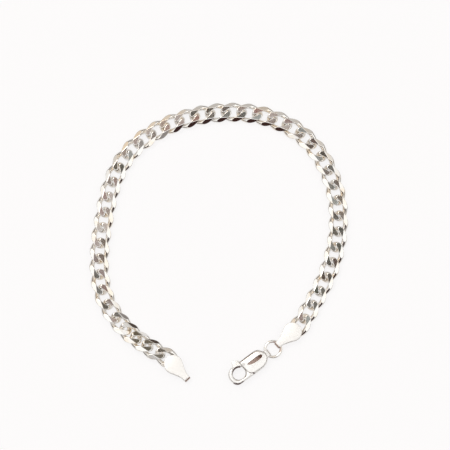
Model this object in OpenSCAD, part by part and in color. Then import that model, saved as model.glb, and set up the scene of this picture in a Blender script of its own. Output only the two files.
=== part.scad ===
// Flat curb-link bracelet with a lobster clasp, lying open on a table.
// X points right, Y away from the viewer, Z up from the table; millimetres.

/* [Chain] */
// Number of loose links between the two end tabs
link_count = 40; // [24:1:42]
// Distance between the centres of neighbouring links in the stretched chain
link_pitch = 4.34; // [4.3:0.02:4.7]
// Width across the chain
link_w = 5.4; // [5.2:0.1:6]
// Diameter of the wire that the links are bent from
wire_d = 1.45; // [1.2:0.05:1.5]
// Play of one link's end in the next
link_play = 0.2; // [0.15:0.01:0.4]
// Twist of a link's ends against its middle
link_twist = 50; // [46:1:54]
// Squareness of a link's oval, where 2 is an ellipse
link_squareness = 2.3; // [2.2:0.05:2.5]
// Thickness of the chain between its cut top and bottom faces
chain_t = 1.9; // [1.7:0.05:2.1]
// Width of the flat cut on each face
flat_w = 3.0; // [2.6:0.1:3.4]
// Height of the uncut edge between the upper and lower bevels
edge_t = 0.5; // [0.3:0.05:0.8]

/* [End tabs] */
// Radius of a tab's round end
tab_r = 2.55; // [2.3:0.05:2.8]
// Distance from the middle of the round end to the eye
tab_l = 5.1; // [4.6:0.1:6]
// Width of the tab at its eye
tab_eye_w = 1.8; // [1.6:0.1:2.2]
// Thickness of the sheet that the tab is folded from
sheet_t = 0.35; // [0.3:0.05:0.45]
// Bore of the tab's rolled eye
eye_bore = 1.1; // [1.05:0.05:1.2]
// How far the free tab's round end lies beyond its soldered link
free_tab_seat = 2.5; // [2.3:0.1:3]
// Turn of the free tab from the line of the chain
free_tab_turn = -17; // [-20:1:-5]
// How far the ring tab's round end lies beyond its soldered link
ring_tab_seat = 2.8; // [2.5:0.1:3]
// Turn of the ring tab's soldered link from the line of the chain
ring_link_turn = -5; // [-8:1:0]
// Turn of the ring tab from its soldered link
ring_tab_turn = -13; // [-18:1:-5]

/* [Jump ring] */
// Outer diameter of the ring
ring_od = 5.1; // [4.9:0.1:5.6]
// Diameter of the ring's wire
ring_wire = 0.75; // [0.65:0.05:0.8]

/* [Clasp] */
// Length from the base hole to the end of the claw
clasp_l = 12.5; // [12:0.1:13.5]
// Length of the casing from the base hole to its front edge
casing_l = 7.8; // [7.6:0.1:8]
// Width of the casing
casing_w = 5.2; // [5:0.1:5.8]
// Thickness of the casing
casing_t = 2.4; // [2.2:0.1:2.8]
// Thickness of the claw
claw_t = 1.8; // [1.6:0.1:2]
// Width of the claw's opening
claw_gap = 3.3; // [3.1:0.1:3.4]
// Length of the claw's opening
claw_gap_l = 3.5; // [3.4:0.1:3.8]
// Width of the claw's metal beyond the opening
claw_wall = 1.35; // [1.2:0.05:1.5]
// Width of the claw's metal beside the opening
claw_side = 0.95; // [0.85:0.05:1.05]
// Radius of the claw's lower corner
claw_corner = 1.8; // [1.6:0.1:2.2]
// How far the claw's closed side draws in from the casing's side
claw_draw = 0.1; // [0.05:0.05:0.3]
// Width of the ear round the base hole
ear_w = 1.8; // [1.6:0.1:2.2]
// Diameter of the base hole
ear_bore = 1.12; // [1.06:0.02:1.3]
// Wall round the base hole
ear_wall = 0.3; // [0.3:0.05:0.4]
// Length of the window in the casing
window_l = 4.8; // [4:0.1:4.8]
// Width of the window at its wide end
window_w = 1.0; // [0.8:0.05:1.1]
// Metal left under the window
window_floor = 0.4; // [0.3:0.05:0.6]
// Turn of the clasp from the ring tab's line
clasp_turn = -5; // [-20:1:10]

/* [Lever] */
// Thickness of the lever
lever_t = 1.0; // [0.8:0.1:1.2]
// Thickness of the lever's arm and thumb tab outside the casing
arm_t = 1.5; // [1.3:0.1:1.6]
// Width of the lever's arm
arm_w = 0.75; // [0.6:0.05:0.9]
// Diameter of the hinge pin
pin_d = 0.6; // [0.5:0.05:0.7]
// Reach of the thumb tab beyond the casing's side
thumb_h = 1.5; // [1.2:0.1:2]

/* [Hidden] */
// Clearance between pieces that turn or hang in each other
gap = 0.06;
// Play of the pin in the casing
pin_gap = 0.02;
// Move that brings the middle of the whole bracelet to the origin
middle_shift = [0.31, 0.14];

// Route of the chain's middle line as chosen points, from the free tab round to the clasp
route_points = [
    [-14.5, -32], [-21.5, -28], [-28.5, -22], [-33, -13.5], [-33.5, -3.5], [-32, 7], [-30, 17],
    [-25.5, 25.5], [-17.5, 31.5], [-8.5, 35], [1, 36.5], [10.5, 36], [20, 32.5], [27, 26], [31.5, 17],
    [33, 7.5], [32, -2.5], [28.5, -12], [22, -23]
];
// Links that lie pushed together and rolled: link, share of the pitch before it, roll in degrees
kink_rows = [
    [1, 1.00, 8],
    [2, 0.88, 14],
    [3, 0.88, 9],
    [4, 0.88, 4]
];

// Outline of the casing from the ear to the front, as shares of its length and of half its width
casing_shares = [
    [0.04, -0.34], [0.12, -0.66], [0.20, -0.88], [0.32, -1], [1, -1], [1, -0.78], [0.97, -0.5],
    [0.94, -0.18], [0.93, 0.21], [0.925, 0.52], [0.915, 0.7], [0.86, 0.86], [0.79, 1], [0.42, 1],
    [0.28, 0.9], [0.14, 0.66], [0.04, 0.34]
];
// Outline of the thumb tab, as shares of the lever's length and of the thumb tab's height
thumb_shares = [
    [0.36, 0], [0.1, 0.3], [0.66, 1], [0.8, 0.6], [0.88, 0.05], [0.8, -0.1], [0.36, -0.1]
];

link_steps = 16;
wire_sides = 6;
round_fn = 48;
spline_steps = 24;

link_r = wire_d / 2;
link_half_l = (link_pitch + wire_d + link_play) / 2;
link_half_w = link_w / 2 - link_r;
half_t = chain_t / 2;
tab_t = chain_t + 0.05;
eye_r = eye_bore / 2 + sheet_t - 0.05;
ring_r = (ring_od - ring_wire) / 2;
ear_r = ear_bore / 2 + ear_wall;

// Heights of the ring's middle plane, which the eye and the base hole share
ring_z = tab_t / 2;
casing_mid = casing_t / 2;

function link_name(i) = str("link_", i < 10 ? "0" : "", i);

// Chain route

function spline_weights(t) = [
    pow(1 - t, 3) / 6,
    (3 * pow(t, 3) - 6 * t * t + 4) / 6,
    (-3 * pow(t, 3) + 3 * t * t + 3 * t + 1) / 6,
    pow(t, 3) / 6
];

route_last = len(route_points) - 1;
// Chosen points with one more beyond each end, so that the curve starts and ends on them
route_frame = concat(
    [2 * route_points[0] - route_points[1]],
    route_points,
    [2 * route_points[route_last] - route_points[route_last - 1]]
);
route_line = concat(
    [for (i = [0:route_last - 1], j = [0:spline_steps - 1])
        let (w = spline_weights(j / spline_steps))
        w[0] * route_frame[i] + w[1] * route_frame[i + 1] + w[2] * route_frame[i + 2]
            + w[3] * route_frame[i + 3]],
    [route_points[route_last]]
);
route_lengths = [
    for (i = 0, s = 0; i < len(route_line);
        i = i + 1, s = s + (i < len(route_line) ? norm(route_line[i] - route_line[i - 1]) : 0)) s
];
route_x = [for (i = [0:len(route_line) - 1]) [route_lengths[i], route_line[i][0]]];
route_y = [for (i = [0:len(route_line) - 1]) [route_lengths[i], route_line[i][1]]];

// Share of the pitch and roll of link i, where the soldered end links are 0 and link_count + 1
function kink_value(i, column, normal) =
    let (rows = [for (r = kink_rows) if (r[0] == i) r[column]])
    len(rows) > 0 ? rows[0] : normal;
function link_roll(i) = kink_value(i, 2, 0);
function pitch_before(i) = link_pitch * kink_value(i, 1, 1);
chain_lengths = [
    for (i = 0, s = 0; i <= link_count + 1; i = i + 1, s = s + pitch_before(i)) s
];

// The route grows with the chain, so that the links fill it from end to end
route_scale = chain_lengths[link_count + 1] / route_lengths[len(route_lengths) - 1];
function route_at(s) =
    middle_shift + [lookup(s / route_scale, route_x), lookup(s / route_scale, route_y)] * route_scale;

tangent_step = 0.4;
route_length = chain_lengths[link_count + 1];
function link_place(i) = route_at(chain_lengths[i]);
function link_heading(i) =
    let (
        s = chain_lengths[i],
        d = route_at(min(s + tangent_step, route_length)) - route_at(max(s - tangent_step, 0))
    )
    atan2(d[1], d[0]);
// A rolled link stands on the lower edge of its flat or of its bevel
function link_lift(roll) = max(
    flat_w / 2 * abs(sin(roll)) + half_t * cos(roll),
    link_w / 2 * abs(sin(roll)) + edge_t / 2 * cos(roll)
);

// Curb link

function signed_power(v, e) = sign(v) * pow(abs(v), e);
// Middle line of the wire: an oval whose cross axis turns along its length
function wire_point(a) =
    let (
        x = link_half_l * signed_power(cos(a), 2 / link_squareness),
        y = link_half_w * signed_power(sin(a), 2 / link_squareness),
        turn = -link_twist * x / link_half_l
    )
    [x, y * cos(turn), y * sin(turn)];
function unit(v) = v / norm(v);
// Ring of points round the wire, square to its middle line
function wire_ring(a) =
    let (
        p = wire_point(a),
        along = unit(wire_point(a + 1) - wire_point(a - 1)),
        turn = -link_twist * p[0] / link_half_l,
        up = [0, -sin(turn), cos(turn)],
        u = unit(up - along * (up * along)),
        v = cross(along, u)
    )
    [for (k = [0:wire_sides - 1])
        let (b = 360 * (k + 0.5) / wire_sides)
        p + link_r * (cos(b) * u + sin(b) * v)];

module link_wire() {
    points = [for (i = [0:link_steps - 1]) each wire_ring(360 * (i + 0.5) / link_steps)];
    faces = [for (i = [0:link_steps - 1], k = [0:wire_sides - 1])
        let (
            i2 = (i + 1) % link_steps,
            k2 = (k + 1) % wire_sides,
            a = i * wire_sides,
            b = i2 * wire_sides
        )
        each [[a + k, b + k2, a + k2], [a + k, b + k, b + k2]]];
    polyhedron(points, faces);
}

// Bar with the chain's cut section, which trims flats and bevels on each link
module cut_bar() {
    w = link_w / 2;
    f = flat_w / 2;
    e = edge_t / 2;
    rotate([90, 0, 90])
        linear_extrude(4 * link_half_l, center = true)
            polygon([
                [-w, -e], [-f, -half_t], [f, -half_t], [w, -e],
                [w, e], [f, half_t], [-f, half_t], [-w, e]
            ]);
}

module curb_link() {
    intersection() {
        link_wire();
        cut_bar();
    }
}

module place_link(i) {
    p = link_place(i);
    translate([p[0], p[1], link_lift(link_roll(i))])
        rotate([0, 0, link_heading(i)])
            rotate([link_roll(i), 0, 0])
                children();
}

module chain_link(i) {
    color("gainsboro") place_link(i) curb_link();
}

// End tabs. Local frame: origin under the middle of the round end, +X towards the eye.

module tab_outline() {
    shoulder = tab_r * 0.4;
    circle(tab_r, $fn = round_fn);
    polygon([
        [shoulder, -tab_r * 0.86], [tab_l, -tab_eye_w / 2],
        [tab_l + eye_r, -tab_eye_w / 2], [tab_l + eye_r, tab_eye_w / 2],
        [tab_l, tab_eye_w / 2], [shoulder, tab_r * 0.86]
    ]);
}

// Side view of the folded sheet: two leaves that close in front of the eye
module tab_profile() {
    closed = tab_l - eye_bore / 2 - 2 * sheet_t;
    difference() {
        union() {
            polygon([
                [-tab_r, 0], [tab_l, ring_z - eye_r], [tab_l, ring_z + eye_r], [-tab_r, tab_t]
            ]);
            translate([tab_l, ring_z]) circle(eye_r, $fn = round_fn);
        }
        translate([tab_l, ring_z]) circle(eye_bore / 2, $fn = round_fn);
        polygon([
            [-2 * tab_r, sheet_t], [closed, ring_z - eye_bore / 2],
            [closed, ring_z + eye_bore / 2], [-2 * tab_r, tab_t - sheet_t]
        ]);
    }
}

module folded_tab() {
    intersection() {
        linear_extrude(tab_t) tab_outline();
        rotate([90, 0, 0]) linear_extrude(2 * link_w, center = true) tab_profile();
    }
}

module end_tab_free() {
    p = link_place(0);
    turn = link_heading(0) + 180 + free_tab_turn;
    color("whitesmoke") {
        place_link(0) curb_link();
        translate([p[0] + free_tab_seat * cos(turn), p[1] + free_tab_seat * sin(turn), 0])
            rotate([0, 0, turn]) folded_tab();
    }
}

last_place = link_place(link_count + 1);
last_link_turn = link_heading(link_count + 1) + ring_link_turn;
ring_tab_heading = last_link_turn + ring_tab_turn;
ring_tab_place = last_place + ring_tab_seat * [cos(ring_tab_heading), sin(ring_tab_heading)];

module end_tab_ring() {
    color("whitesmoke") {
        translate([last_place[0], last_place[1], half_t])
            rotate([0, 0, last_link_turn]) curb_link();
        translate([ring_tab_place[0], ring_tab_place[1], 0])
            rotate([0, 0, ring_tab_heading]) folded_tab();
    }
}

// Distance from the ring's middle to the middle of a hole that is pulled against its wire
function hang_distance(bore, width) =
    let (slant = asin(width / 2 / ring_r))
    ring_r * cos(slant) + bore / 2 - ring_wire / 2 / cos(slant) - gap;

ring_place = ring_tab_place + (tab_l + hang_distance(eye_bore, tab_eye_w))
    * [cos(ring_tab_heading), sin(ring_tab_heading)];

module jump_ring() {
    color("silver")
        translate([ring_place[0], ring_place[1], ring_z])
            rotate_extrude($fn = round_fn)
                translate([ring_r, 0]) circle(ring_wire / 2, $fn = round_fn);
}

// Clasp. Local frame: origin in the base hole's middle on the table, +X towards the claw's end,
// +Y towards the side without the lever.

clasp_heading = ring_tab_heading + clasp_turn;
clasp_place = ring_place + hang_distance(ear_bore, ear_w) * [cos(clasp_heading), sin(clasp_heading)];

module place_clasp() {
    translate([clasp_place[0], clasp_place[1], 0]) rotate([0, 0, clasp_heading]) children();
}

half_w = casing_w / 2;
claw_r = (casing_w - claw_draw) / 2;
claw_mid = clasp_l - claw_r;
claw_low = half_w - claw_draw;
gap_end = clasp_l - claw_wall;
gap_mid_y = claw_low - claw_side - claw_gap / 2;
corner_mid = [clasp_l - claw_corner - 0.15, claw_low - claw_corner];
hinge = [casing_l - 0.9, -half_w + 1.25];
arm_in = -half_w + arm_w;
slot_t = lever_t + 2 * gap;
hub_r = 0.75;
slot_start = hinge[0] - hub_r - 0.2;
slot_end = hinge[1] + hub_r + 0.1;

module claw_opening() {
    r = claw_gap / 2;
    translate([gap_end - r, gap_mid_y]) circle(r, $fn = round_fn);
    translate([gap_end - claw_gap_l + r, gap_mid_y]) circle(r, $fn = round_fn);
    translate([gap_end - claw_gap_l + r, gap_mid_y - r]) square([claw_gap_l - 2 * r, claw_gap]);
}

// Slanted end of the lever's arm, where it meets the claw's tip
arm_out = -half_w + gap;
tip_out = claw_mid + 0.1;
tip_in = claw_mid + 0.55;
tip_gap = 1.3 * gap;

module claw_outline() {
    root = casing_l * 0.6;
    side_end = casing_l * 0.78;
    difference() {
        union() {
            translate([claw_mid, claw_low - claw_r]) circle(claw_r, $fn = round_fn);
            translate(corner_mid) circle(claw_corner, $fn = round_fn);
            polygon([
                [root, gap_mid_y], [corner_mid[0], gap_mid_y], [corner_mid[0], claw_low],
                [side_end, half_w], [root, half_w]
            ]);
        }
        claw_opening();
        polygon([
            [0, -2 * half_w], [tip_out + tip_gap, -2 * half_w], [tip_out + tip_gap, arm_out],
            [tip_in + tip_gap, arm_in], [tip_in + tip_gap, gap_mid_y], [0, gap_mid_y]
        ]);
    }
}

module casing_outline() {
    polygon([for (s = casing_shares) [s[0] * casing_l, s[1] * half_w]]);
}

// Window that narrows towards the claw
module window_outline() {
    start = [ear_r + 0.5 + window_w / 2, -0.33];
    mid = start + [0.4 * window_l, 0];
    end = start + [window_l - window_w, -window_w / 4];
    translate(start) circle(window_w / 2, $fn = round_fn);
    translate(mid) circle(window_w / 2, $fn = round_fn);
    translate(end) circle(window_w / 8, $fn = round_fn);
    polygon([
        start - [0, window_w / 2], mid - [0, window_w / 2], end - [0, window_w / 8],
        end + [0, window_w / 8], mid + [0, window_w / 2], start + [0, window_w / 2]
    ]);
}

module clasp_body() {
    color("whitesmoke") place_clasp() difference() {
        union() {
            linear_extrude(casing_t) casing_outline();
            translate([0, 0, (casing_t - claw_t) / 2]) linear_extrude(claw_t) claw_outline();
            translate([0, 0, ring_z - ear_r])
                linear_extrude(2 * ear_r) {
                    translate([0, -ear_w / 2]) square([casing_l / 4, ear_w]);
                }
            translate([0, 0, ring_z]) rotate([90, 0, 0])
                cylinder(h = ear_w, r = ear_r, center = true, $fn = round_fn);
        }
        // Base hole across the clasp
        translate([0, 0, ring_z]) rotate([90, 0, 0])
            cylinder(h = 2 * casing_w, d = ear_bore, center = true, $fn = round_fn);
        translate([0, 0, window_floor]) linear_extrude(casing_t) window_outline();
        // Slot that the lever turns in, open to the side and to the front
        translate([slot_start, -casing_w, casing_mid - slot_t / 2])
            cube([casing_l + gap - slot_start, casing_w + slot_end, slot_t]);
        translate([hinge[0], hinge[1], -1])
            cylinder(h = casing_t + 2, d = pin_d + 2 * pin_gap, $fn = round_fn);
    }
}

module lever_outline() {
    translate(hinge) circle(hub_r, $fn = round_fn);
    polygon([
        [hinge[0], hinge[1] - 0.7], [casing_l + 0.2, arm_out], [tip_out, arm_out],
        [tip_in, arm_in], [casing_l + 0.5, arm_in], [hinge[0] + 0.5, hinge[1] + 0.5]
    ]);
}

// Part of the lever that shows in front of the casing. Its inner side follows the opening.
module arm_outline() {
    start = casing_l + 0.2;
    root_in = arm_in + 0.6;
    difference() {
        polygon([
            [start, arm_out], [tip_out, arm_out], [tip_in, arm_in], [tip_in, root_in], [start, root_in]
        ]);
        claw_opening();
    }
}

module thumb_outline() {
    l = tip_out - hinge[0];
    polygon([for (s = thumb_shares) [hinge[0] + s[0] * l, arm_out - s[1] * thumb_h]]);
}

module clasp_lever() {
    color("gainsboro") place_clasp() difference() {
        union() {
            translate([0, 0, casing_mid - lever_t / 2]) linear_extrude(lever_t) {
                lever_outline();
                thumb_outline();
            }
            translate([0, 0, casing_mid - arm_t / 2]) linear_extrude(arm_t) arm_outline();
        }
        translate([hinge[0], hinge[1], -1])
            cylinder(h = casing_t + 2, d = pin_d + 2 * gap, $fn = round_fn);
    }
}

module clasp_pin() {
    color("silver") place_clasp()
        translate([hinge[0], hinge[1], gap])
            cylinder(h = casing_t - 2 * gap, d = pin_d, $fn = round_fn);
}

for (i = [1:link_count])
    chain_link(i);
end_tab_free();
end_tab_ring();
jump_ring();
clasp_body();
clasp_lever();
clasp_pin();
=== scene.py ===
"""Flat curb-link bracelet with a lobster clasp, lying open on a pale table.

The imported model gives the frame. Each link, end tab, ring and clasp piece is made again here with
its round wire, cut facets and soft polished edges. The bracelet's sizes in the panel are
millimetres, and the stage's are metres.
"""

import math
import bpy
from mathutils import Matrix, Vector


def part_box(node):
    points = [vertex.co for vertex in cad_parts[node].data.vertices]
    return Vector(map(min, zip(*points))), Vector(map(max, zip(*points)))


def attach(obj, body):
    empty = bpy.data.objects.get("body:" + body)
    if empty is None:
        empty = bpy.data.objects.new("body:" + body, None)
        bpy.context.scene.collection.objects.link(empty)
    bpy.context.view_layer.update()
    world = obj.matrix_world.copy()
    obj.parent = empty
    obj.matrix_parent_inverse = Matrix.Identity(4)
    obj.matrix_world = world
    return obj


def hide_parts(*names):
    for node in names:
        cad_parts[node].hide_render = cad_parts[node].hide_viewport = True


bl_info = {
    "name": "Curb Link Bracelet",
    "version": (1, 0, 0),
    "blender": (4, 5, 0),
    "location": "3D View > Sidebar > Bracelet",
    "description": "Makes the polished links, end tabs, ring and lobster clasp of a curb bracelet",
    "category": "Object",
}

import bmesh
import bpy
from bpy.props import (
    FloatProperty,
    FloatVectorProperty,
    IntProperty,
    PointerProperty,
)
from bpy.types import Operator, Panel, PropertyGroup
from mathutils import Matrix, Vector

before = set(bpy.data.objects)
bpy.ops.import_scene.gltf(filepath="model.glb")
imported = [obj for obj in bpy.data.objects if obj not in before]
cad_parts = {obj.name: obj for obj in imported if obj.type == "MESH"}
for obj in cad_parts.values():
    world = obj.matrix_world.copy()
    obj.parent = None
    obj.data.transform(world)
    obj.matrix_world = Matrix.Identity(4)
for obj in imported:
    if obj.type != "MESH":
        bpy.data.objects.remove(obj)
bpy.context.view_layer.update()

MM = 0.001
CHAIN_BODY = "bracelet"
LEVER_BODY = "lever"

# Clearance of pieces that turn or hang in each other, and of the pin in the casing, mm
GAP = 0.06
PIN_GAP = 0.02
# How much thicker a folded tab is than the chain, mm
TAB_RISE = 0.05
# How far the hinge lies behind the casing's front edge and in from its side, and its hub, mm
HINGE_BACK = 0.9
HINGE_IN = 1.25
HUB_RADIUS = 0.75
# How far the box of the ring, of a link, and of a tab or clasp piece may be off its node's, mm
RING_FIT = 0.1
LINK_FIT = 0.25
SHAPED_FIT = 0.35

# Route of the chain's middle line as chosen points, from the free tab round to the clasp
ROUTE_POINTS = (
    (-14.5, -32), (-21.5, -28), (-28.5, -22), (-33, -13.5), (-33.5, -3.5), (-32, 7), (-30, 17),
    (-25.5, 25.5), (-17.5, 31.5), (-8.5, 35), (1, 36.5), (10.5, 36), (20, 32.5), (27, 26),
    (31.5, 17), (33, 7.5), (32, -2.5), (28.5, -12), (22, -23),
)
MIDDLE_SHIFT = Vector((0.31, 0.14))
SPLINE_STEPS = 24
TANGENT_STEP = 0.4
# Links that lie pushed together and rolled: link, share of the pitch before it, roll in degrees
KINKS = {1: (1.0, 8), 2: (0.88, 14), 3: (0.88, 9), 4: (0.88, 4)}

# Outline of the casing from the ear to the front, as shares of its length and of half its width
CASING_SHARES = (
    (0.03, -0.3), (0.08, -0.52), (0.15, -0.78), (0.24, -0.94), (0.36, -1), (0.6, -1), (0.85, -1),
    (0.985, -0.985), (1, -0.8), (0.99, -0.5), (0.975, -0.18), (0.965, 0.21), (0.958, 0.52),
    (0.94, 0.7), (0.895, 0.86), (0.81, 0.98), (0.62, 1), (0.46, 1), (0.34, 0.95), (0.23, 0.84),
    (0.13, 0.64), (0.05, 0.4), (0.02, 0.1),
)
# Outline of the casing's window, as shares of its length and width
WINDOW_SHARES = (
    (0, -0.05), (0.04, 0.26), (0.15, 0.44), (0.5, 0.5), (0.79, 0.3), (0.93, 0), (1, -0.25),
    (0.86, -0.45), (0.52, -0.48), (0.16, -0.45), (0.04, -0.3),
)
# Outline of the thumb tab, as shares of the lever's length and of the thumb tab's height
THUMB_SHARES = (
    (0.3, -0.1), (0.16, 0.1), (0.2, 0.34), (0.4, 0.62), (0.64, 0.95), (0.76, 0.8),
    (0.83, 0.42), (0.88, 0.04), (0.8, -0.1),
)
# Outlines of the lever's arm from its lower face up: share of its thickness, how far its outer
# side draws in, and radius of its inner side round the opening
ARM_ROWS = (
    (0, 0.15, 1.75), (0.12, 0, 1.58), (0.45, 0, 1.56), (0.75, 0.03, 1.66), (0.9, 0.1, 1.8),
    (1, 0.2, 1.94),
)
# Marks on faces that become a piece's second and third material: painted shade and dark reflection on
# the clasp's edges, and brown patina that also paints shade
EDGE_SHADE = 1
PATINA_AND_SHADE = 2
# Radius that wear has rounded edges to, in metres
WORN_EDGE = 0.00012
# Each silver's strength of wear, roughness against the panel's, warm patches and worn edges
FINISHES = {
    "chain_silver": (0.35, 0.8, True, 0.0),
    "tab_silver": (0.8, 6.0, False, WORN_EDGE),
    "ring_silver": (0.8, 1.0, True, WORN_EDGE),
    "clasp_silver": (0.8, 3.8, False, WORN_EDGE),
}


def length(name, text, default):
    """One size in the panel, in millimetres."""
    return FloatProperty(name=name, description=text, default=default, min=0, unit="NONE")


def angle(name, text, degrees):
    """One angle in the panel."""
    return FloatProperty(
        name=name, description=text, default=math.radians(degrees), subtype="ANGLE")


def fraction(name, text, default):
    """One share in the panel, from 0 to 1."""
    return FloatProperty(
        name=name, description=text, default=default, min=0, max=1, subtype="FACTOR")


def paint(name, text, default):
    """One colour in the panel."""
    return FloatVectorProperty(
        name=name, description=text, default=default, min=0, max=1, subtype="COLOR")


class ChainSizes(PropertyGroup):
    """Sizes of the links and of the chain"""

    link_count: IntProperty(
        name="Links", description="Loose links between the two end tabs", default=40, min=1)
    pitch: length("Pitch", "Distance between neighbouring links, mm", 4.34)
    width: length("Width", "Width across the chain, mm", 5.4)
    wire: length("Wire", "Diameter of the links' wire, mm", 1.45)
    play: length("Play", "Play of one link's end in the next, mm", 0.2)
    twist: angle("Twist", "Twist of a link's ends against its middle", 50)
    squareness: FloatProperty(
        name="Squareness", description="Squareness of the oval, where 2 is an ellipse",
        default=2.3, min=2)
    thickness: length("Thickness", "Thickness between the cut faces, mm", 1.9)
    flat: length("Flat", "Width of the flat cut on each face, mm", 3.0)
    edge: length("Edge", "Height of the uncut edge between two bevels, mm", 0.5)
    face_tip: angle("Face tip", "Largest tip of a link's cut top faces off level", 1.0)
    soft: length("Soft edge", "How far the polish rounds the edges of the cut faces, mm", 0.05)
    steps: IntProperty(name="Steps", description="Sections round each link", default=176, min=16)
    sides: IntProperty(name="Sides", description="Sides round the wire", default=46, min=8)


class TabSizes(PropertyGroup):
    """Sizes and turns of the two end tabs"""

    radius: length("Radius", "Radius of a tab's round end, mm", 2.55)
    reach: length("Reach", "Distance from the round end's middle to the eye, mm", 5.1)
    eye_width: length("Eye width", "Width of the tab at its eye, mm", 1.8)
    sheet: length("Sheet", "Thickness of the folded sheet, mm", 0.35)
    bore: length("Bore", "Bore of the rolled eye, mm", 1.1)
    free_seat: length("Free seat", "How far the free tab lies beyond its link, mm", 2.5)
    free_turn: angle("Free turn", "Turn of the free tab from the line of the chain", -17)
    ring_seat: length("Ring seat", "How far the ring tab lies beyond its link, mm", 2.8)
    ring_link_turn: angle("Last link turn", "Turn of the last link from the line of the chain", -5)
    ring_turn: angle("Ring turn", "Turn of the ring tab from its link", -13)


class RingSizes(PropertyGroup):
    """Sizes of the jump ring"""

    outer: length("Outer", "Outer diameter of the jump ring, mm", 5.1)
    wire: length("Wire", "Diameter of the ring's wire, mm", 0.75)
    gap: length("Gap", "Clearance between hanging pieces, mm", GAP)


class ClaspSizes(PropertyGroup):
    """Sizes of the clasp, its lever and its pin"""

    reach: length("Reach", "Length from the base hole to the claw's end, mm", 12.5)
    casing: length("Casing", "Length of the casing from the base hole, mm", 7.8)
    width: length("Width", "Width of the casing, mm", 5.2)
    thickness: length("Thickness", "Thickness of the casing, mm", 2.4)
    claw_thickness: length("Claw", "Thickness of the claw, mm", 1.8)
    claw_gap: length("Opening", "Width of the claw's opening, mm", 3.3)
    claw_gap_length: length("Opening length", "Length of the claw's opening, mm", 3.5)
    claw_wall: length("End wall", "Width of the claw's metal beyond the opening, mm", 1.35)
    claw_side: length("Side wall", "Width of the claw's metal beside the opening, mm", 0.95)
    claw_corner: length("Corner", "Radius of the claw's lower corner, mm", 1.8)
    claw_draw: length("Draw", "How far the claw's closed side draws in, mm", 0.1)
    ear_width: length("Ear width", "Width of the ear round the base hole, mm", 1.8)
    ear_bore: length("Ear bore", "Diameter of the base hole, mm", 1.12)
    ear_wall: length("Ear wall", "Wall round the base hole, mm", 0.3)
    window_length: length("Window length", "Length of the casing's window, mm", 4.8)
    window_width: length("Window width", "Width of the window at its wide end, mm", 1.1)
    window_floor: length("Window floor", "Metal left under the window, mm", 0.4)
    crown: length("Crown", "How far the casing's face swells, mm", 0.16)
    turn: angle("Turn", "Turn of the clasp from the ring tab's line", -5)
    lever: length("Lever", "Thickness of the lever, mm", 1.0)
    arm: length("Arm", "Thickness of the lever's arm, mm", 1.5)
    arm_width: length("Arm width", "Width of the lever's arm, mm", 0.75)
    pin: length("Pin", "Diameter of the hinge pin, mm", 0.6)
    thumb: length("Thumb tab", "Reach of the thumb tab beyond the casing, mm", 1.5)


class SilverLook(PropertyGroup):
    """Colours and polish of the silver, and the colours of its painted shade"""

    colour: paint("Silver", "Colour of the polished silver", (0.925, 0.905, 0.875))
    warm: paint("Warm silver", "Colour of the faint warm patches", (0.91, 0.82, 0.70))
    # Painted shade and dark reflection along the clasp's edges
    edge_shade: paint(
        "Edge shade", "Colour of the silver along the clasp's dark edges", (0.19, 0.14, 0.13))
    # Brown patina in the clasp's window, also used as painted shade and dark reflection on the ring
    # and the tabs' eyes
    patina_and_shade: paint(
        "Patina and shade", "Colour of the silver in the clasp's window and in the ring", (0.50, 0.38, 0.33))
    roughness: fraction("Roughness", "Roughness of the polish", 0.07)


class StudioLook(PropertyGroup):
    """Table, light and camera"""

    table: paint("Table", "Colour of the table", (0.976, 0.965, 0.966))
    shade: fraction("Shade", "Share of the table's colour that shadows darken", 0.18)
    glow: fraction("Glow", "Share of the table's colour that shadows leave", 0.832)
    mirrored: fraction("Mirrored", "Share of the table's glow that shows in the silver", 0.8)
    backdrop: paint("Backdrop", "Colour behind the table's edge", (0.98, 0.965, 0.957))
    elevation: angle("Elevation", "Height of the camera above the table", 82)
    distance: FloatProperty(
        name="Distance", description="Distance from the camera to the bracelet", default=1.2,
        unit="LENGTH", min=0.1)
    view_width: FloatProperty(
        name="View width", description="Width of the view at the bracelet", default=0.1237,
        unit="LENGTH", min=0.01)
    aim: FloatVectorProperty(
        name="Aim", description="Point that the camera looks at", default=(0.00168, 0.00491, 0.001),
        subtype="TRANSLATION", unit="LENGTH")


# Chain route

def spline_weights(t):
    """Weights of the four chosen points round a place on a cubic B-spline."""
    return (
        (1 - t) ** 3 / 6,
        (3 * t ** 3 - 6 * t * t + 4) / 6,
        (-3 * t ** 3 + 3 * t * t + 3 * t + 1) / 6,
        t ** 3 / 6,
    )


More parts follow.
